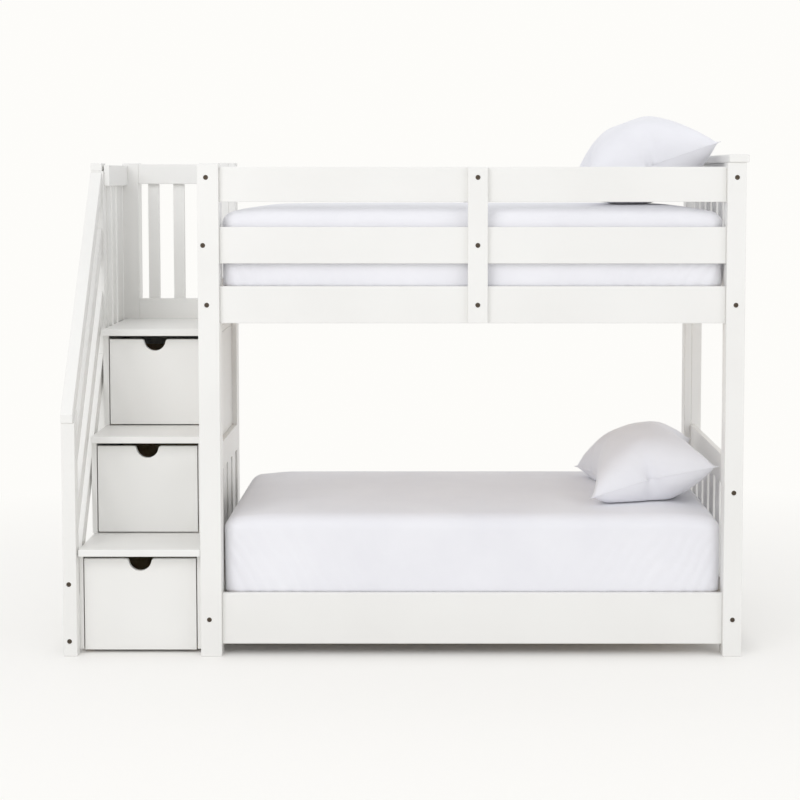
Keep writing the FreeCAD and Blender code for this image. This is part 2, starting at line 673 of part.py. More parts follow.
def make_stair_posts():
    top = "handrail_foot_top - handrail_end"
    slope_foot = "handrail_foot_top - handrail_plumb"
    meet = f"(({top}) - ({slope_foot})) / slope"
    points = [("0", "0"), ("newel_depth", "0"),
              ("newel_depth", f"{slope_foot} + slope * newel_depth"), (meet, top), ("0", top)]
    at = ("newel_x", "front", "0")
    newel = profile_board("newel_post", at, points, "newel_width")
    heights = ["stringer_high + stringer_height / 2", "stringer_low + stringer_height / 2"]
    bolted(newel, at, [("newel_bolt_inset", up) for up in heights], length="newel_bolt_length")
    keep(newel, "newel_post")
    keep(board("landing_post", ("newel_x", "post_front_y", "0"),
               ("newel_width", "landing_post_depth", "handrail_head_top")), "landing_post")
    for name, x, width in (("stair_back_left_post", "cabinet_x", "back_left_width"),
                           ("stair_back_right_post", "back_right_x", "back_right_width")):
        keep(board(name, (x, "back_leg_y", "0"), (width, "post_depth", "stair_post_top")), name)
    stringers = []
    for name, z in (("low_stringer", "stringer_low"), ("high_stringer", "stringer_high")):
        stringers.append(board(name, ("newel_x + stringer_inset", "front + newel_depth", z),
                               ("stringer_thick", "landing_post_front - newel_depth",
                                "stringer_height"), "slat_round"))
    keep(group("stair_stringers", stringers), "stair_stringers")


def make_handrail():
    """The sloping handrail, its level end, and the rails under it."""
    foot = "handrail_foot_top - handrail_plumb"
    head = "handrail_head_top - handrail_plumb"
    lip = "handrail_foot_top - handrail_end"
    points = [("-handrail_nose", lip), ("-handrail_nose", "handrail_foot_top"),
              ("landing_post_front", "handrail_head_top"),
              ("landing_post_front", head), (f"(({lip}) - ({foot})) / slope", lip)]
    x = "newel_x - handrail_overhang"
    keep(profile_board("handrail", (x, "front", "0"), points, "handrail_width"), "handrail")
    keep(board("handrail_level_end", (x, "post_front_y", "handrail_head_top"),
               ("handrail_width", "handrail_level", "handrail_end")), "handrail_level_end")

    x = "cabinet_x - slope_rail_inset - slope_rail_width"
    start = "newel_depth"
    end = "landing_post_front"

    def sloping(name, drop, plumb):
        """A rail parallel to the handrail, with its top so far below the handrail's top."""
        low = f"handrail_foot_top + slope * newel_depth - ({drop})"
        high = f"handrail_head_top - ({drop})"
        corners = [(start, f"{low} - ({plumb})"), (start, low), (end, high),
                   (end, f"{high} - ({plumb})")]
        return profile_board(name, (x, "front", "0"), corners, "slope_rail_width", "slat_round")

    under = sloping("under_rail", "handrail_plumb", "slope_rail_plumb / 2")
    rails = sloping("slope_rail", "slope_rail_first + slope_rail_step * (slope_rail_count - 1)",
                    "slope_rail_plumb")
    row_of(rails, "Z", "slope_rail_count", "slope_rail_step")
    keep(group("slope_rails", [under, rails]), "slope_rails")


def make_landing_guards():
    slat_x = "cabinet_x - guard_slat_thick"
    foot = "landing_top - side_guard_overlap"
    height = f"side_guard_top - ({foot})"
    slats = board("side_guard_narrow_slats", (slat_x, "post_end_y + side_guard_gap", foot),
                  ("guard_slat_thick", "side_guard_slat_width", height), "slat_round")
    slats = row_of(slats, "Y", "side_guard_count", "side_guard_slat_width + side_guard_gap")
    end_board = board("side_guard_end_board",
                      (slat_x, "cabinet_end_y - side_guard_end_width", foot),
                      ("guard_slat_thick", "side_guard_end_width", height), "slat_round")
    keep(group("side_guard_slats", [slats, end_board]), "side_guard_slats")
    keep(board("side_guard_rail",
               ("cabinet_x", "post_end_y - side_guard_lap", "side_guard_top - side_guard_height"),
               ("side_guard_thick", "side_guard_span + side_guard_lap", "side_guard_height")),
         "side_guard_rail")
    back_rails = [board(name, ("back_guard_x", "back_leg_y", z),
                        ("back_guard_span", "back_guard_thick", height))
                  for name, z, height in (
                      ("back_guard_top_rail", "back_guard_top - back_guard_height",
                       "back_guard_height"),
                      ("back_guard_base_rail", "landing_top", "back_guard_base"))]
    keep(group("landing_back_rails", back_rails), "landing_back_rails")
    first = "back_guard_x + back_guard_first"
    slats = board("back_guard_slats", (first, "back_leg_y + back_guard_thick", "landing_top"),
                  ("guard_slat_width", "guard_slat_thick", "back_guard_top - landing_top"),
                  "slat_round")
    keep(row_of(slats, "X", "back_guard_count", "back_guard_step"), "landing_back_slats")


# ---------------------------------------------------------------- drawers

def drawer_face(name, at, width, height):
    """A face board with a finger notch in its top edge; its origin is below the notch."""
    body = doc.addObject("PartDesign::Body", name)
    sketch = new_sketch(body, "XZ_Plane")
    half = f"({width}) / 2"
    corners = [("-" + half, "0"), (half, "0"), (half, height), ("pull_half_width", height),
               ("-pull_half_width", height), ("-" + half, height)]
    start = [V(size(x), size(z), 0) for x, z in corners]
    notch_low = V(0, size(f"{height} - pull_drop"), 0)
    notch = 3
    for index, point in enumerate(start):
        following = start[(index + 1) % len(start)]
        edge = Part.LineSegment(point, following)
        if index == notch:
            edge = Part.Arc(following, notch_low, point)
        sketch.addGeometry(edge, False)
    for index in range(len(start)):
        following = (index + 1) % len(start)
        # the arc runs the other way round, from its second corner to its first
        end = 1 if index == notch else 2
        begin = 2 if following == notch else 1
        sketch.addConstraint(Sketcher.Constraint("Coincident", index, end, following, begin))
    for index, (x, z) in enumerate(corners):
        fix_point(sketch, index, 2 if index == notch else 1, x, z)
    middle = f"{height} - pull_drop + pull_round"
    level = sketch.addConstraint(Sketcher.Constraint("DistanceY", notch, 3, size(middle)))
    bind(sketch, f"Constraints[{level}]", middle)
    pad = body.newObject("PartDesign::Pad", name + "_pad")
    pad.Profile = sketch
    pad.Reversed = True
    bind(pad, "Length", "face_thick")
    doc.recompute()
    flare = body.newObject("PartDesign::Fillet", name + "_flare")
    reach = size("pull_half_width")
    flare.Base = (pad, [f"Edge{i + 1}" for i, edge in enumerate(pad.Shape.Edges)
                        if edge.BoundBox.XLength + edge.BoundBox.ZLength < 0.01
                        and abs(abs(edge.CenterOfMass.x) - reach) < 0.01])
    bind(flare, "Radius", "pull_flare")
    body.Tip = flare
    round_edges(body, "slat_round")
    place(body, at)
    return body


def make_drawers():
    for name, top, face, floor in STEPS:
        prefix = f"drawer_{name}"
        left = f"cabinet_x + left_stile_{name}"
        opening = f"(cabinet_width - left_stile_{name} - right_stile_{name})"
        base = "drawer_one_base" if name == "one" else f"({floor} + drawer_base_gap)"
        height = f"{top} - tread_thick - drawer_top_gap - {base}"
        keep(drawer_face(f"{prefix}_face", (f"{left} + {opening} / 2", face, base),
                         f"{opening} - 2 * drawer_gap", height), f"{prefix}_face")

        box_y = f"{face} + face_thick"
        box_z = f"{base} + box_lift"
        box_height = f"({height}) - box_lift - box_top_drop"
        left_wall = f"{left} + box_inset"
        right_wall = f"{left} + {opening} - box_inset - box_wall"
        inner = f"{opening} - 2 * box_inset - 2 * box_wall"
        walls = [board(f"{prefix}_{side}_side", (x, box_y, box_z),
                       ("box_wall", "box_depth", box_height), "slat_round")
                 for side, x in (("left", left_wall), ("right", right_wall))]
        walls.append(board(f"{prefix}_back", (f"{left_wall} + box_wall",
                                              f"{box_y} + box_depth - box_wall", box_z),
                           (inner, "box_wall", box_height), "slat_round"))
        keep(group(f"{prefix}_box", walls), f"{prefix}_box")
        keep(board(f"{prefix}_floor",
                   (f"{left_wall} + box_wall", box_y, f"{box_z} + box_floor_lift"),
                   (inner, "box_depth - box_wall", "box_floor"), "box_floor / 6"),
             f"{prefix}_floor")


def make_runners():
    runners = []
    for name, _, face, floor in STEPS:
        left = f"cabinet_x + left_stile_{name}"
        right = f"left_x - right_stile_{name}"
        base = "drawer_one_base" if name == "one" else f"({floor} + drawer_base_gap)"
        top = f"{base} + box_lift - runner_clearance"
        height = "runner_height" if name == "one" else f"({top}) - {floor}"
        y = f"{face} + stile_depth + runner_setback"
        for side, x in (("left", left), ("right", f"{right} - runner_width")):
            runners.append(board(f"{side}_runner_{name}", (x, y, f"{top} - ({height})"),
                                 ("runner_width", "box_depth - stile_depth", height),
                                 "slat_round"))
    keep(group("drawer_runners", runners), "drawer_runners")


# ---------------------------------------------------------------- mattresses and pillows

def arc(start, middle, end):
    return Part.Arc(start, middle, end).toShape()


def mattress_section(x, inset):
    """The mattress cut across at x, drawn in by the inset at its ends."""
    half = size("mattress_width") / 2 - inset
    shoulder = half - size("mattress_side_swell")
    top = size("mattress_height") - inset
    base_round = size("mattress_base_round")
    top_round = size("mattress_top_round")
    edge_top = top - size("mattress_crown")
    belly = (base_round + edge_top - top_round) / 2
    diagonal = math.sqrt(0.5)
    low = V(x, shoulder - base_round, 0)
    low_arc = V(x, shoulder - base_round * (1 - diagonal), base_round * (1 - diagonal))
    side_low = V(x, shoulder, base_round)
    side_mid = V(x, half, belly)
    side_top = V(x, shoulder, edge_top - top_round)
    high_arc = V(x, shoulder - top_round * (1 - diagonal), edge_top - top_round * (1 - diagonal))
    high = V(x, shoulder - top_round, edge_top)

    def other(point):
        return V(point.x, -point.y, point.z)

    edges = [Part.LineSegment(other(low), low).toShape(),
             arc(low, low_arc, side_low),
             arc(side_low, side_mid, side_top),
             arc(side_top, high_arc, high),
             arc(high, V(x, 0, top), other(high)),
             arc(other(high), other(high_arc), other(side_top)),
             arc(other(side_top), other(side_mid), other(side_low)),
             arc(other(side_low), other(low_arc), other(low))]
    return Part.Wire(edges)


def make_mattresses():
    """Crowned blocks with drawn-in sides and round ends, resting flat on the slats."""
    length = size("mattress_length")
    end_round = size("mattress_end_round")
    angles = [math.radians(step) for step in (0, 25, 50, 70, 90)]
    offsets = [(end_round * (1 - math.sin(a)), end_round * (1 - math.cos(a))) for a in angles]
    # each pair is how far a section is drawn in, and how far it lies from the end
    left = [mattress_section(along, inset) for inset, along in offsets]
    right = [mattress_section(length - along, inset) for inset, along in reversed(offsets)]
    shape = Part.makeLoft(left + right, True, True)
    for name, base in (("lower_mattress", "lower_mattress_base"),
                       ("upper_mattress", "upper_mattress_base")):
        mattress = doc.addObject("Part::Feature", name)
        mattress.Shape = shape
        place(mattress, ("inner_left + mattress_end_gap", "0", base))
        keep(mattress, name)


def pillow_section(y, half, top, base):
    """A lens of two arcs across the pillow."""
    left, right = V(-half, y, 0), V(half, y, 0)
    return Part.Wire([arc(left, V(0, y, top), right), arc(right, V(0, y, -base), left)])


def make_pillows():
    """Plump pillows with drawn-in sides, leaning up the headboards and flat underneath."""
    half_length = size("pillow_length") / 2
    edge = size("pillow_edge")
    for level in ("lower", "upper"):
        name = f"{level}_pillow"
        half_width = size(name + "_width") / 2
        top_swell = size(name + "_top_swell")
        base_swell = size(name + "_base_swell")
        rise = size(name + "_rise")
        sections = []
        for share in (-1, -0.9, -0.7, -0.4, 0, 0.4, 0.7, 0.9, 1):
            fullness = (1 - share * share) ** 0.5
            half = half_width - size("pillow_side_draw") * (1 - share * share)
            top = edge + (top_swell - edge) * fullness
            base = edge + (base_swell - edge) * fullness
            sections.append(pillow_section(share * half_length, half, top, base))
        shape = Part.makeLoft(sections, True, False)
        shape.rotate(V(0, 0, 0), V(0, 1, 0), -size(name + "_tilt"))
        room = 2 * size("pillow_length")
        floor = size("pillow_rest_gap") - rise
        shape = shape.cut(Part.makeBox(room, room, room, V(-room / 2, -room / 2, floor - room)))
        pillow = doc.addObject("Part::Feature", name)
        pillow.Shape = shape
        place(pillow, (f"head_x - pillow_head_gap - {shape.BoundBox.XMax}",
                       "front + pillow_front_depth + pillow_length / 2",
                       f"{level}_mattress_base + mattress_height + {name}_rise"))
        keep(pillow, name)


# ---------------------------------------------------------------- build, check and write

def main():
    fill_sheet()
    make_legs()
    make_side_rails()
    make_braces()
    make_decks()
    make_headboards()
    make_upper_foot_end()
    make_treads()
    make_cabinet()
    make_stair_posts()
    make_handrail()
    make_landing_guards()
    make_drawers()
    make_runners()
    make_mattresses()
    make_pillows()
    keep(group("frame_bolts", bolts), "frame_bolts")
    doc.recompute()

    for item in doc.Objects:
        if {"Invalid", "Error"} & set(item.State):
            raise RuntimeError(f"{item.Name} failed: {item.State}")
    os.makedirs("parts", exist_ok=True)
    for node in nodes:
        shape = node.Shape
        if shape.isNull() or not shape.isValid() or not shape.Solids:
            raise RuntimeError(f"{node.Label} has no valid solid")
    for node in nodes:
        node.Shape.exportStep(f"parts/{node.Label}.step")
        print(f"{node.Label}: {len(node.Shape.Solids)} solids, {node.Shape.Volume / 1e6:.2f} l")
    print(len(nodes), "nodes")


main()
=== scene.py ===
"""Looks of the bunk bed with storage stairs: paint, bedding, floor, light and camera."""

import json
import math

import bmesh
import bpy
from mathutils import Matrix, Vector, noise


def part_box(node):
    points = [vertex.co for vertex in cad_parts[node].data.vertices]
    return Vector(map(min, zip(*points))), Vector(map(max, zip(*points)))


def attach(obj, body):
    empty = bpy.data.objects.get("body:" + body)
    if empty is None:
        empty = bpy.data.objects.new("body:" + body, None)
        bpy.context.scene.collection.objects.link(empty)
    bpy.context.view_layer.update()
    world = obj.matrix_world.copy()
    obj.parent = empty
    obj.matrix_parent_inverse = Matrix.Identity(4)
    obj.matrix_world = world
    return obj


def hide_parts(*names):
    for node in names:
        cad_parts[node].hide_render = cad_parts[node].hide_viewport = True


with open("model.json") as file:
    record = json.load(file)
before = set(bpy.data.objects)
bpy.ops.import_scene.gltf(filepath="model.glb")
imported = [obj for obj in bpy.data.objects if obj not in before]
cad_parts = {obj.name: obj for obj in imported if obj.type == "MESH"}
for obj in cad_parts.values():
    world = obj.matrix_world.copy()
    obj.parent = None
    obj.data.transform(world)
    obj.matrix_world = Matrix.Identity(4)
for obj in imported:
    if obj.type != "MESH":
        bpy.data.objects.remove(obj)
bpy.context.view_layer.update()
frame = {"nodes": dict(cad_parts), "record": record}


# ---------------------------------------------------------------- camera

def make_camera():
    camera = bpy.data.objects.new("camera", bpy.data.cameras.new("camera"))
    bpy.context.scene.collection.objects.link(camera)
    camera.location = (0.1283, -6.7087, 1.8217)
    camera.rotation_euler = (math.radians(90 - 3.587), 0.0, math.radians(0.051))
    camera.data.sensor_width = 36.0
    camera.data.lens = 73.95
    camera.data.shift_x = -0.0448
    camera.data.shift_y = -0.1487
    camera.data.clip_end = 60.0
    bpy.context.scene.camera = camera


# ---------------------------------------------------------------- materials

class Nodes:
    """Short ways to make and join shader nodes."""

    def __init__(self, name):
        self.material = bpy.data.materials.new(name)
        self.material.use_nodes = True
        self.tree = self.material.node_tree
        self.shader = self.tree.nodes["Principled BSDF"]

    @classmethod
    def on(cls, tree):
        """The same short ways on a node tree that exists."""
        helper = cls.__new__(cls)
        helper.tree = tree
        return helper

    def add(self, kind, **values):
        node = self.tree.nodes.new(kind)
        for key, value in values.items():
            if hasattr(node, key):
                setattr(node, key, value)
            else:
                node.inputs[key.replace("_", " ")].default_value = value
        return node

    def join(self, source, target):
        self.tree.links.new(source, target)

    def coordinates(self, scale):
        where = self.add("ShaderNodeTexCoord")
        mapping = self.add("ShaderNodeMapping")
        mapping.inputs["Scale"].default_value = scale
        self.join(where.outputs["Object"], mapping.inputs["Vector"])
        return mapping.outputs["Vector"]

    def noise(self, vector, scale, detail=3.0, roughness=0.5):
        node = self.add("ShaderNodeTexNoise", Scale=scale, Detail=detail, Roughness=roughness)
        self.join(vector, node.inputs["Vector"])
        return node.outputs["Fac"]

    def spread(self, value, low, high):
        """Brings a texture's 0.3 to 0.7 to a chosen range."""
        node = self.add("ShaderNodeMapRange")
        ends = (("From Min", 0.3), ("From Max", 0.7), ("To Min", low), ("To Max", high))
        for key, number in ends:
            node.inputs[key].default_value = number
        self.join(value, node.inputs["Value"])
        return node.outputs["Result"]

    def colours(self, value, *stops):
        ramp = self.add("ShaderNodeValToRGB")
        elements = ramp.color_ramp.elements
        while len(elements) < len(stops):
            elements.new(0.5)
        for element, (place, colour) in zip(elements, stops):
            element.position = place
            element.color = (*colour, 1.0)
        self.join(value, ramp.inputs["Fac"])
        return ramp.outputs["Color"]

    def times(self, one, other):
        node = self.add("ShaderNodeMath", operation="MULTIPLY")
        self.join(one, node.inputs[0])
        self.join(other, node.inputs[1])
        return node.outputs[0]

    def seen_directly(self):
        """1 for what the camera, a reflection or a clear body sees, 0 for light on the object."""
        rays = self.add("ShaderNodeLightPath")
        seen = rays.outputs["Is Camera Ray"]
        for kind in ("Is Glossy Ray", "Is Transmission Ray"):
            node = self.add("ShaderNodeMath", operation="MAXIMUM")
            self.join(seen, node.inputs[0])
            self.join(rays.outputs[kind], node.inputs[1])
            seen = node.outputs[0]
        return seen

    def bump(self, height, strength, distance, before=None):
        node = self.add("ShaderNodeBump", Strength=strength, Distance=distance)
        self.join(height, node.inputs["Height"])
        if before:
            self.join(before, node.inputs["Normal"])
        return node.outputs["Normal"]


def stretched(axis, along, across):
    """Texture scale of a board whose grain runs along one axis."""
    scale = [across, across, across]
    scale["XYZ".index(axis)] = along
    return scale


def paint(axis):
    """Satin warm white paint over wood whose grain just shows."""
    n = Nodes("white_paint_" + axis.lower())
    grain = n.noise(n.coordinates(stretched(axis, 2.0, 60.0)), 1.0, 5.0, 0.6)
    brush = n.noise(n.coordinates(stretched(axis, 14.0, 420.0)), 1.0, 3.0)
    cloud = n.noise(n.coordinates((1.0, 1.0, 1.0)), 2.2, 2.0)
    colour = n.colours(cloud, (0.35, (0.846, 0.839, 0.815)), (0.65, (0.872, 0.866, 0.843)))
    n.join(colour, n.shader.inputs["Base Color"])
    n.join(n.spread(brush, 0.36, 0.46), n.shader.inputs["Roughness"])
    first = n.bump(grain, 0.10, 0.0012)
    n.join(n.bump(brush, 0.08, 0.0004, first), n.shader.inputs["Normal"])
    n.shader.inputs["Specular IOR Level"].default_value = 0.42
    n.shader.inputs["Coat Weight"].default_value = 0.12
    n.shader.inputs["Coat Roughness"].default_value = 0.3
    return n.material


def pine(axis):
    n = Nodes("pine_" + axis.lower())
    vector = n.coordinates(stretched(axis, 1.2, 16.0))
    bend = n.noise(vector, 1.0, 2.0)
    rings = n.noise(n.coordinates(stretched(axis, 2.5, 70.0)), 1.0, 4.0, 0.65)
    fibre = n.noise(n.coordinates(stretched(axis, 20.0, 900.0)), 1.0, 2.0)
    mixed = n.add("ShaderNodeMath", operation="MULTIPLY_ADD")
    mixed.inputs[1].default_value = 0.55
    n.join(rings, mixed.inputs[0])
    half = n.add("ShaderNodeMath", operation="MULTIPLY")
    half.inputs[1].default_value = 0.45
    n.join(bend, half.inputs[0])
    n.join(half.outputs[0], mixed.inputs[2])
    colour = n.colours(mixed.outputs[0], (0.36, (0.60, 0.42, 0.24)), (0.5, (0.74, 0.57, 0.37)),
                       (0.64, (0.80, 0.66, 0.46)))
    n.join(colour, n.shader.inputs["Base Color"])
    n.join(n.spread(fibre, 0.5, 0.62), n.shader.inputs["Roughness"])
    first = n.bump(rings, 0.15, 0.0008)
    n.join(n.bump(fibre, 0.15, 0.0003, first), n.shader.inputs["Normal"])
    return n.material


def drawer_board():
    n = Nodes("drawer_board")
    fleck = n.noise(n.coordinates((60.0, 22.0, 60.0)), 1.0, 4.0, 0.6)
    colour = n.colours(fleck, (0.35, (0.72, 0.65, 0.53)), (0.65, (0.82, 0.77, 0.67)))
    n.join(colour, n.shader.inputs["Base Color"])
    n.join(n.spread(fleck, 0.5, 0.6), n.shader.inputs["Roughness"])
    n.join(n.bump(fleck, 0.1, 0.0004), n.shader.inputs["Normal"])
    return n.material


def bronze():
    n = Nodes("dark_bronze")
    n.shader.inputs["Metallic"].default_value = 0.85
    wear = n.noise(n.coordinates((1.0, 1.0, 1.0)), 900.0, 4.0)
    colour = n.colours(wear, (0.35, (0.060, 0.048, 0.038)), (0.7, (0.16, 0.125, 0.095)))
    n.join(colour, n.shader.inputs["Base Color"])
    n.join(n.spread(wear, 0.34, 0.5), n.shader.inputs["Roughness"])
    n.join(n.bump(wear, 0.2, 0.0002), n.shader.inputs["Normal"])
    return n.material


def cotton():
    """Smooth cool white percale: a fine plain weave, soft creases with painted shade in their
    hollows, and a little sheen.
    """
    n = Nodes("white_cotton")
    crease_height_and_painted_shade = n.noise(n.coordinates((3.0, 3.6, 3.0)), 1.0, 4.0, 0.55)
    soft = n.noise(n.coordinates((9.0, 14.0, 9.0)), 1.0, 3.0)
    heights = []
    for axis in ("X", "Y"):
        wave = n.add("ShaderNodeTexWave", wave_type="BANDS", bands_direction=axis,
                     Scale=420.0, Distortion=1.2, Detail=1.0)
        n.join(n.coordinates((1.0, 1.0, 1.0)), wave.inputs["Vector"])
        heights.append(wave.outputs["Fac"])
    weave = n.add("ShaderNodeMath", operation="MAXIMUM")
    n.join(heights[0], weave.inputs[0])
    n.join(heights[1], weave.inputs[1])
    # the base colour follows the crease height, so the crease hollows are painted darker as shade
    colour = n.colours(crease_height_and_painted_shade, (0.3, (0.825, 0.822, 0.862)), (0.7, (0.872, 0.870, 0.905)))
    n.join(colour, n.shader.inputs["Base Color"])
    n.join(n.spread(soft, 0.62, 0.76), n.shader.inputs["Roughness"])
    first = n.bump(crease_height_and_painted_shade, 0.22, 0.012)
    second = n.bump(soft, 0.14, 0.003, first)
    n.join(n.bump(weave.outputs[0], 0.12, 0.0002, second), n.shader.inputs["Normal"])
    n.shader.inputs["Sheen Weight"].default_value = 0.25
    n.shader.inputs["Sheen Roughness"].default_value = 0.45
    n.shader.inputs["Specular IOR Level"].default_value = 0.3
    return n.material


def dress_nodes(cloth):
    """Gives every carried-over CAD node its material, with the grain along its longest side."""
    paints = {axis: paint(axis) for axis in "XYZ"}
    pines = {axis: pine(axis) for axis in "XYZ"}
    plain = {"bolts": bronze(), "drawer_floor": drawer_board(), "bedding": cloth}
    slots = {part["node"]: part["material_slot"] for part in frame["record"]["subparts"]}
    grain = {"deck_ledgers": "X", "drawer_runners": "Y", "stair_stiles": "Z",
             "slope_rails": "Y", "side_guard_slats": "Z", "landing_back_slats": "Z",
             "landing_back_rails": "X", "lower_deck_slats": "Y", "upper_deck_slats": "Y",
             "lower_headboard_slats": "Z", "upper_headboard_slats": "Z", "footboard_slats": "Z",
             "back_leg_boards": "Z", "guard_braces": "Z", "stair_stringers": "Y",
             "stair_side_panel": "Z", "stair_inner_panel": "Z", "foot_guard": "Z",
             "drawer_shelves": "X"}
    for name, item in frame["nodes"].items():
        low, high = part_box(name)
        lengths = [high[i] - low[i] for i in range(3)]
        axis = grain.get(name, "XYZ"[lengths.index(max(lengths))])
        material = plain.get(slots[name])
        if material is None:
            material = (pines if slots[name] == "pine" else paints)[axis]
        item.data.materials.clear()
        item.data.materials.append(material)


# ---------------------------------------------------------------- mesh helpers

def new_object(name, mesh, material):
    item = bpy.data.objects.new(name, mesh)
    bpy.context.scene.collection.objects.link(item)
    item.data.materials.clear()
    item.data.materials.append(material)
    for face in item.data.polygons:
        face.use_smooth = True
    return item


def smoothstep(low, high, value):
    share = min(max((value - low) / (high - low), 0.0), 1.0)
    return share * share * (3.0 - 2.0 * share)


def ripple(point, scale, seed):
    """Even noise from -1 to 1 that is the same on each run."""
    return noise.noise(Vector(point) * scale + Vector((seed, seed * 0.7, -seed)))


# ---------------------------------------------------------------- mattresses

SHEET_ROUND = 0.052         # radius of the upright corners and of the upper edges
SHEET_BASE_ROUND = 0.018
SHEET_CROWN = 0.014         # rise of the top towards its middle
SHEET_END_ROLL = 0.012      # how far the top falls off towards its ends
SHEET_STEPS = (200, 104, 10)    # mesh steps along, across and round a corner
WALL_STEPS = 28


def ring_points(half_x, half_y, corner, inset, counts):
    """A rounded rectangle drawn in by the inset; counts are the steps per side and corner."""
    across, along, turns = counts
    radius = corner - inset
    inner_x, inner_y = half_x - corner, half_y - corner
    points = []
    corners = [(inner_x, -inner_y), (inner_x, inner_y), (-inner_x, inner_y), (-inner_x, -inner_y)]
    for index, (x, y) in enumerate(corners):
        start = -math.pi / 2 + index * math.pi / 2
        for step in range(turns):
            angle = start + math.pi / 2 * step / turns
            points.append((x + radius * math.cos(angle), y + radius * math.sin(angle)))
        next_x, next_y = corners[(index + 1) % 4]
        end = start + math.pi / 2
        first = Vector((x + radius * math.cos(end), y + radius * math.sin(end)))
        last = Vector((next_x + radius * math.cos(end), next_y + radius * math.sin(end)))
        steps = along if index % 2 == 0 else across
        for step in range(steps):
            spot = first.lerp(last, step / steps)
            points.append((spot.x, spot.y))
    return points


def mattress_mesh(name, size, seed):
    """A mattress in a fitted sheet, centred in plan and standing on z = 0."""
    length, width, height = size
    corner = top_round = SHEET_ROUND
    base_round = SHEET_BASE_ROUND
    counts = SHEET_STEPS
    levels = []
    for step in range(6):
        angle = math.pi / 2 * step / 5
        levels.append((base_round * (1 - math.sin(angle)), base_round * (1 - math.cos(angle))))
    wall = height - SHEET_CROWN - top_round
    for step in range(1, WALL_STEPS + 1):
        levels.append((0.0, base_round + (wall - base_round) * step / WALL_STEPS))
    for step in range(1, 10):
        angle = math.pi / 2 * step / 9
        levels.append((top_round * (1 - math.cos(angle)), wall + top_round * math.sin(angle)))
    mesh = bmesh.new()
    rings = []
    for inset, z in levels:
        spots = ring_points(length / 2, width / 2, corner, inset, counts)
        rings.append([mesh.verts.new((x, y, z)) for x, y in spots])
    for low, high in zip(rings, rings[1:]):
        for i, vert in enumerate(low):
            j = (i + 1) % len(low)
            mesh.faces.new((vert, low[j], high[j], high[i]))
    mesh.faces.new(list(reversed(rings[0])))
    # the top is a grid whose edge meets the last ring
    across, along, _ = counts
    inner_x, inner_y = length / 2 - corner, width / 2 - corner
    top = levels[-1][1]
    grid = [[mesh.verts.new((-inner_x + 2 * inner_x * i / across,
                             -inner_y + 2 * inner_y * j / along, top))
             for j in range(along + 1)] for i in range(across + 1)]
    for i in range(across):
        for j in range(along):
            mesh.faces.new((grid[i][j], grid[i + 1][j], grid[i + 1][j + 1], grid[i][j + 1]))
    bmesh.ops.remove_doubles(mesh, verts=mesh.verts, dist=0.0002)
    for vert in mesh.verts:
        shape_mattress_point(vert, size, seed)
    bmesh.ops.recalc_face_normals(mesh, faces=mesh.faces)
    data = bpy.data.meshes.new(name)
    mesh.to_mesh(data)
    mesh.free()
    return data


def shape_mattress_point(vert, size, seed):
    """Crowns the top, bows the sides and pulls the sheet into shallow folds at the corners."""
    length, width, height = size
    x, y, z = vert.co
    share_x, share_y = 2 * x / length, 2 * y / width
    lift = smoothstep(height * 0.5, height * 0.96, z)
    crown = SHEET_CROWN * (1 - share_x ** 6) * (1 - share_y ** 2)
    vert.co.z += crown * lift - SHEET_END_ROLL * smoothstep(0.80, 1.0, abs(share_x)) * lift
    belly = 1 - (2 * z / height - 1) ** 2
    edge_y = smoothstep(0.93, 1.0, abs(share_y))
    edge_x = smoothstep(0.965, 1.0, abs(share_x))
    vert.co.y += math.copysign(0.004 * (belly - 1) * edge_y, y)
    vert.co.x += math.copysign(0.003 * (belly - 1) * edge_x, x)
    # folds that lean away from each corner, strongest low on the long sides
    reach = length / 2 - abs(x)
    fade = math.exp(-reach / 0.34) * smoothstep(0.0, 0.05, reach)
    drop = 1 - smoothstep(height * 0.45, height * 0.95, z)
    slant = reach - 0.6 * (height - z) + 0.02 * ripple((x, y, z), 7.0, seed)
    fold = math.sin(slant * 115.0 + 1.4 * ripple((x, 0.0, z), 9.0, seed + 3))
    fold *= 0.6 + 0.4 * ripple((x, y, 0.0), 14.0, seed + 5)
    vert.co.y -= math.copysign(0.0070 * fade * drop * edge_y * (0.5 + 0.5 * fold), y)
    low = 0.0016 * (0.5 + 0.5 * ripple((x * 1.6, y, z * 0.6), 6.0, seed + 9)) * drop
    vert.co.y -= math.copysign(low * edge_y, y)
    reach = width / 2 - abs(y)
    fade = math.exp(-reach / 0.2) * smoothstep(0.0, 0.05, reach)
    fold = math.sin((reach - 0.4 * (height - z)) * 60.0 + ripple((0.0, y, z), 8.0, seed))
    vert.co.x -= math.copysign(0.004 * fade * drop * edge_x * (0.5 + 0.5 * fold), x)
    # a few long, soft creases across the top
    flat = smoothstep(height * 0.9, height, z) * (1 - share_x ** 4) * (1 - share_y ** 4)
    vert.co.z -= 0.0014 * flat * abs(ripple((x * 0.9, y * 2.4, 0.0), 2.6, seed + 11))


def corner_seams(size):
    """Paths of the fitted sheet's four upright corner seams."""
    length, width, height = size
    paths = []
    for side_x in (-1, 1):
        for side_y in (-1, 1):
            path = []
            for step in range(13):
                z = 0.03 + (height - 0.095) * step / 12
                offset = SHEET_ROUND * (1 - math.sqrt(0.5)) + 0.0035
                path.append(Vector((side_x * (length / 2 - offset),
                                    side_y * (width / 2 - offset), z)))
            paths.append(path)
    return paths


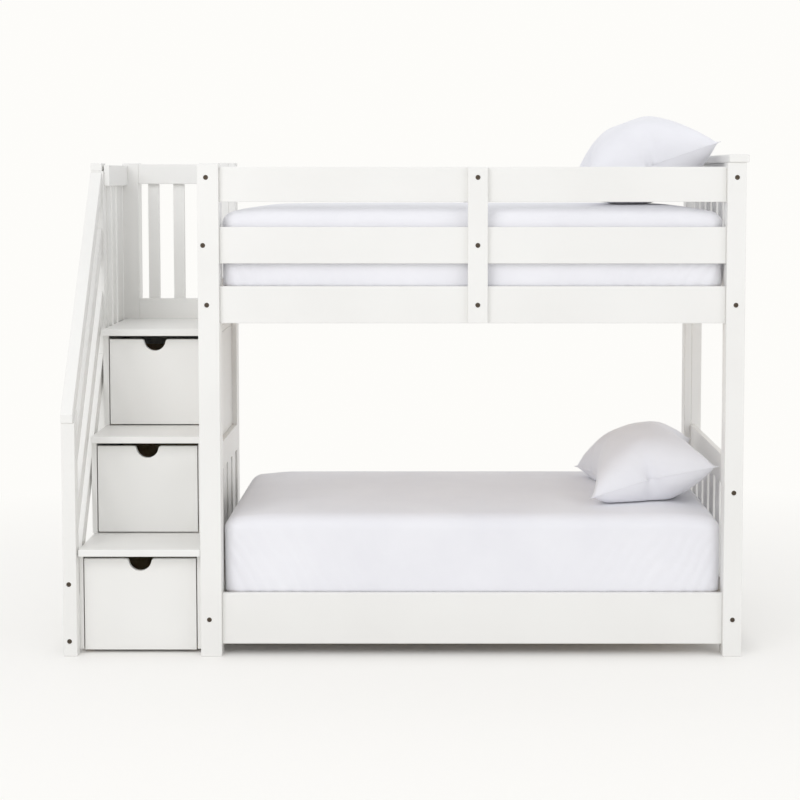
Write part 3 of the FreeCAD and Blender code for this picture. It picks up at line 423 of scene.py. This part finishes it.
def add_tube(mesh, path, radius, closed=False, sides=6):
    """A thin round line along a path, added to a bmesh."""
    count = len(path)
    rings = []
    for i, spot in enumerate(path):
        before = path[i - 1] if (i or closed) else spot
        after = path[(i + 1) % count] if (i < count - 1 or closed) else spot
        way = (after - before).normalized()
        side = way.cross(Vector((0.31, 0.17, 0.93))).normalized()
        up = side.cross(way)
        rings.append([mesh.verts.new(spot + radius * (math.cos(a) * side + math.sin(a) * up))
                      for a in (2 * math.pi * k / sides for k in range(sides))])
    pairs = list(zip(rings, rings[1:]))
    if closed:
        pairs.append((rings[-1], rings[0]))
    for low, high in pairs:
        for k in range(sides):
            j = (k + 1) % sides
            mesh.faces.new((low[k], low[j], high[j], high[k]))
    if not closed:
        mesh.faces.new(list(reversed(rings[0])))
        mesh.faces.new(rings[-1])


def make_mattress(node, cloth, seed):
    low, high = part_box(node)
    size = (high[0] - low[0], high[1] - low[1], high[2] - low[2])
    mesh = mattress_mesh(node + "_sheet", size, seed)
    piece = new_object(node + "_sheet", mesh, cloth)
    seams = bmesh.new()
    seams.from_mesh(piece.data)
    for path in corner_seams(size):
        add_tube(seams, path, 0.0012)
    seams.to_mesh(piece.data)
    seams.free()
    for face in piece.data.polygons:
        face.use_smooth = True
    middle = Vector(((low[0] + high[0]) / 2, (low[1] + high[1]) / 2, low[2]))
    piece.data.transform(Matrix.Translation(middle))
    finish_soft(piece, node)


def finish_soft(piece, node):
    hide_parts(node)
    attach(piece, "frame")


# ---------------------------------------------------------------- pillows

PILLOWS = {
    # width and length of the filled pillow, its tilt in degrees, the height of its
    # seam's middle above the mattress, and what it rests on
    "lower_pillow": (0.516, 0.716, 14.0, 0.092, "lower_mattress"),
    "upper_pillow": (0.570, 0.716, 19.5, 0.147, "upper_mattress"),
}

CASE_EASE = (1.22, 1.16)    # flat panels against the filled pillow, in width and in length
CASE_STEPS = (64, 84)       # mesh steps across a panel's width and length
FILL_FRAMES = 36
FILL_PRESSURE = 9.0
EASING_ROUNDS = 14


def pillow_panels(width, length, steps):
    """Two flat panels joined round their edge, the lower one marked by negative height."""
    mesh = bmesh.new()
    count_x, count_y = steps
    panels = []
    for side in (1, -1):
        rows = []
        for i in range(count_x + 1):
            u = 2 * i / count_x - 1
            row = []
            for j in range(count_y + 1):
                v = 2 * j / count_y - 1
                swell = max((1 - u * u) * (1 - v * v), 0.0) ** 0.5
                row.append(mesh.verts.new((u * width / 2, v * length / 2,
                                           side * 0.02 * swell)))
            rows.append(row)
        panels.append(rows)
    for side, rows in enumerate(panels):
        for i in range(count_x):
            for j in range(count_y):
                face = [rows[i][j], rows[i + 1][j], rows[i + 1][j + 1], rows[i][j + 1]]
                mesh.faces.new(face if side == 0 else list(reversed(face)))
    bmesh.ops.remove_doubles(mesh, verts=mesh.verts, dist=0.0001)
    return mesh


def inflate(piece, frames, pressure):
    """Fills the sewn panels with cloth simulation and keeps the result on the mesh."""
    cloth = piece.modifiers.new("fill", "CLOTH")
    settings = cloth.settings
    settings.quality = 6
    settings.mass = 0.25
    settings.tension_stiffness = 40
    settings.compression_stiffness = 12
    settings.shear_stiffness = 18
    settings.bending_stiffness = 0.4
    settings.air_damping = 6.0
    settings.use_pressure = True
    settings.uniform_pressure_force = pressure
    settings.effector_weights.gravity = 0.0
    cloth.collision_settings.use_collision = False
    cloth.collision_settings.use_self_collision = False
    cloth.point_cache.frame_start = 1
    cloth.point_cache.frame_end = frames
    scene = bpy.context.scene
    for number in range(1, frames + 1):
        scene.frame_set(number)
    shaped = bpy.data.meshes.new_from_object(
        piece.evaluated_get(bpy.context.evaluated_depsgraph_get()))
    piece.modifiers.clear()
    piece.data = shaped
    scene.frame_set(1)


def ease_creases(mesh, seam):
    """Evens out the sharp inner creases of a filled case and leaves its seam alone."""
    body = bmesh.new()
    body.from_mesh(mesh)
    body.verts.ensure_lookup_table()
    kept = set(seam)
    inner = [vert for vert in body.verts if vert.index not in kept]
    for _ in range(EASING_ROUNDS):
        bmesh.ops.smooth_vert(body, verts=inner, factor=0.5,
                              use_axis_x=True, use_axis_y=True, use_axis_z=True)
    body.to_mesh(mesh)
    body.free()


def boundary_loop(steps, mesh, width, length):
    """Indices of the seam's points in order, found on the flat panels."""
    count_x, count_y = steps
    wanted = [(i, 0) for i in range(count_x)]
    wanted += [(count_x, j) for j in range(count_y)]
    wanted += [(i, count_y) for i in range(count_x, 0, -1)]
    wanted += [(0, j) for j in range(count_y, 0, -1)]
    places = {}
    for vert in mesh.vertices:
        i = round((vert.co.x / width + 0.5) * count_x)
        j = round((vert.co.y / length + 0.5) * count_y)
        if i in (0, count_x) or j in (0, count_y):
            places[i, j] = vert.index
    return [places[spot] for spot in wanted]


def pucker(u, v, width, length, seed):
    """Depth of the short gathers that run in from the seam, at a place on the flat panel."""
    in_x, in_y = (1 - abs(u)) * width / 2, (1 - abs(v)) * length / 2
    inward = min(in_x, in_y)
    along = v * length / 2 if in_x < in_y else u * width / 2
    wave = math.sin(along * 145.0 + 2.2 * ripple((u, v, 0.0), 2.0, seed))
    depth = 0.6 + 0.4 * ripple((u, v, 0.0), 3.0, seed + 2)
    return 0.0034 * depth * (0.5 + 0.5 * wave) * smoothstep(0.0, 0.02, inward) \
        * math.exp(-inward / 0.045)


def make_pillow(node, cloth, seed):
    width, length, tilt, rise, rest = PILLOWS[node]
    low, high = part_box(node)
    steps = CASE_STEPS
    flat_width, flat_length = width * CASE_EASE[0], length * CASE_EASE[1]
    mesh = pillow_panels(flat_width, flat_length, steps)
    data = bpy.data.meshes.new(node + "_case")
    mesh.to_mesh(data)
    mesh.free()
    seam = boundary_loop(steps, data, flat_width, flat_length)
    flat = [(2 * v.co.x / flat_width, 2 * v.co.y / flat_length) for v in data.vertices]
    piece = new_object(node + "_case", data, cloth)
    inflate(piece, FILL_FRAMES, FILL_PRESSURE)
    ease_creases(piece.data, seam)
    points = [vert.co.copy() for vert in piece.data.vertices]
    span = [max(p[i] for p in points) - min(p[i] for p in points) for i in range(3)]
    turn = Matrix.Rotation(math.radians(-tilt), 4, "Y")
    fitted = [turn @ Vector((p.x * width / span[0], p.y * length / span[1], p.z)) for p in points]
    # the thickness is set so that the tilted pillow is as high as its solid
    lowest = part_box(rest)[1][2]
    highest = max(p.z for p in fitted)
    target = high[2] - lowest - rise
    stretch = target / highest
    fitted = [turn @ Vector((p.x * width / span[0], p.y * length / span[1],
                             p.z * (stretch if p.z > 0 else stretch * 0.8)
                             - math.copysign(pucker(u, v, width, length, seed), p.z)))
              for p, (u, v) in zip(points, flat)]
    reach = max(p.x for p in fitted)
    middle = Vector((high[0] - reach, (low[1] + high[1]) / 2, lowest + rise))
    floor = lowest + 0.0004
    for vert, spot in zip(piece.data.vertices, fitted):
        place = spot + middle
        if place.z < floor:
            place.z = floor
        vert.co = place
    body = bmesh.new()
    body.from_mesh(piece.data)
    body.verts.ensure_lookup_table()
    path = [body.verts[index].co.copy() for index in seam]
    add_tube(body, path, 0.0014, closed=True)
    body.to_mesh(piece.data)
    body.free()
    for face in piece.data.polygons:
        face.use_smooth = True
    finish_soft(piece, node)


# ---------------------------------------------------------------- floor and light

BACKDROP_COLOUR = (0.985, 0.976, 0.950, 1.0)
FLOOR_COLOUR = (0.940, 0.926, 0.902, 1.0)
BED_HALF = (1.22, 0.50, 0.0)    # half the bed's footprint in metres
FLOOR_FADE = 2.4                # metres over which the floor goes over into the backdrop
# shares of the backdrop's colour in the floor under, beside and far from the bed
FLOOR_GLOWS = ((0.0, 0.03), (0.07, 0.5), (1.0, 1.0))
FILL_COLOUR = (0.97, 0.98, 1.0, 1.0)
FILL_STRENGTH = 0.75


def floor_material():
    """A pale matt floor that goes over into the backdrop's colour away from the bed."""
    n = Nodes("pale_floor")
    n.shader.inputs["Base Color"].default_value = FLOOR_COLOUR
    n.shader.inputs["Roughness"].default_value = 0.6
    n.shader.inputs["Specular IOR Level"].default_value = 0.2
    fine = n.noise(n.coordinates((1.0, 1.0, 1.0)), 90.0)
    n.join(n.bump(fine, 0.05, 0.0005), n.shader.inputs["Normal"])
    where = n.add("ShaderNodeTexCoord")
    beyond = where.outputs["Object"]
    for kind, other in (("ABSOLUTE", None), ("SUBTRACT", BED_HALF), ("MAXIMUM", (0.0, 0.0, 0.0))):
        step = n.add("ShaderNodeVectorMath", operation=kind)
        n.join(beyond, step.inputs[0])
        if other is not None:
            step.inputs[1].default_value = other
        beyond = step.outputs["Vector"]
    reach = n.add("ShaderNodeVectorMath", operation="LENGTH")
    n.join(beyond, reach.inputs[0])
    fade = n.add("ShaderNodeMapRange")
    fade.inputs["From Max"].default_value = FLOOR_FADE
    n.join(reach.outputs["Value"], fade.inputs["Value"])
    glow = n.colours(fade.outputs["Result"], *((at, (share,) * 3) for at, share in FLOOR_GLOWS))
    far = n.add("ShaderNodeEmission", Color=BACKDROP_COLOUR, Strength=1.0)
    mix = n.add("ShaderNodeMixShader")
    n.join(n.times(glow, n.seen_directly()), mix.inputs["Fac"])
    n.join(n.shader.outputs["BSDF"], mix.inputs[1])
    n.join(far.outputs["Emission"], mix.inputs[2])
    n.join(mix.outputs["Shader"], n.tree.nodes["Material Output"].inputs["Surface"])
    return n.material


def make_stage():
    mesh = bpy.data.meshes.new("floor")
    reach = 40.0
    mesh.from_pydata([(-reach, -reach, 0), (reach, -reach, 0), (reach, reach, 0),
                      (-reach, reach, 0)], [], [(0, 1, 2, 3)])
    floor = new_object("floor", mesh, floor_material())
    floor.data.polygons[0].use_smooth = False

    world = bpy.data.worlds.new("studio")
    bpy.context.scene.world = world
    world.use_nodes = True
    n = Nodes.on(world.node_tree)
    seen = n.tree.nodes["Background"]
    seen.inputs["Color"].default_value = BACKDROP_COLOUR
    fill = n.add("ShaderNodeBackground", Color=FILL_COLOUR, Strength=FILL_STRENGTH)
    mix = n.add("ShaderNodeMixShader")
    n.join(n.seen_directly(), mix.inputs["Fac"])
    n.join(fill.outputs["Background"], mix.inputs[1])
    n.join(seen.outputs["Background"], mix.inputs[2])
    n.join(mix.outputs["Shader"], n.tree.nodes["World Output"].inputs["Surface"])


LAMPS = (
    # name, place, target, diameter and power
    ("key", (-3.2, -5.2, 4.6), (0.0, 0.0, 0.9), 4.0, 110),
    ("fill", (4.6, -4.2, 3.0), (0.0, 0.0, 0.9), 4.5, 50),
    ("top", (0.0, 1.2, 5.6), (0.0, 0.0, 0.0), 4.5, 20),
)


def lamp(name, place, target, size, power):
    light = bpy.data.lights.new(name, "AREA")
    light.shape = "DISK"
    light.size = size
    light.energy = power
    item = bpy.data.objects.new(name, light)
    bpy.context.scene.collection.objects.link(item)
    item.location = place
    way = Vector(target) - Vector(place)
    item.rotation_euler = way.to_track_quat("-Z", "Y").to_euler()


def make_lights():
    for name, place, target, size, power in LAMPS:
        lamp(name, place, target, size, power)


# ---------------------------------------------------------------- assembly

bpy.context.scene.view_settings.view_transform = "Standard"
make_camera()
bedding = cotton()
dress_nodes(bedding)
make_mattress("lower_mattress", bedding, 2.0)
make_mattress("upper_mattress", bedding, 5.0)
make_pillow("lower_pillow", bedding, 1.0)
make_pillow("upper_pillow", bedding, 4.0)
make_stage()
make_lights()
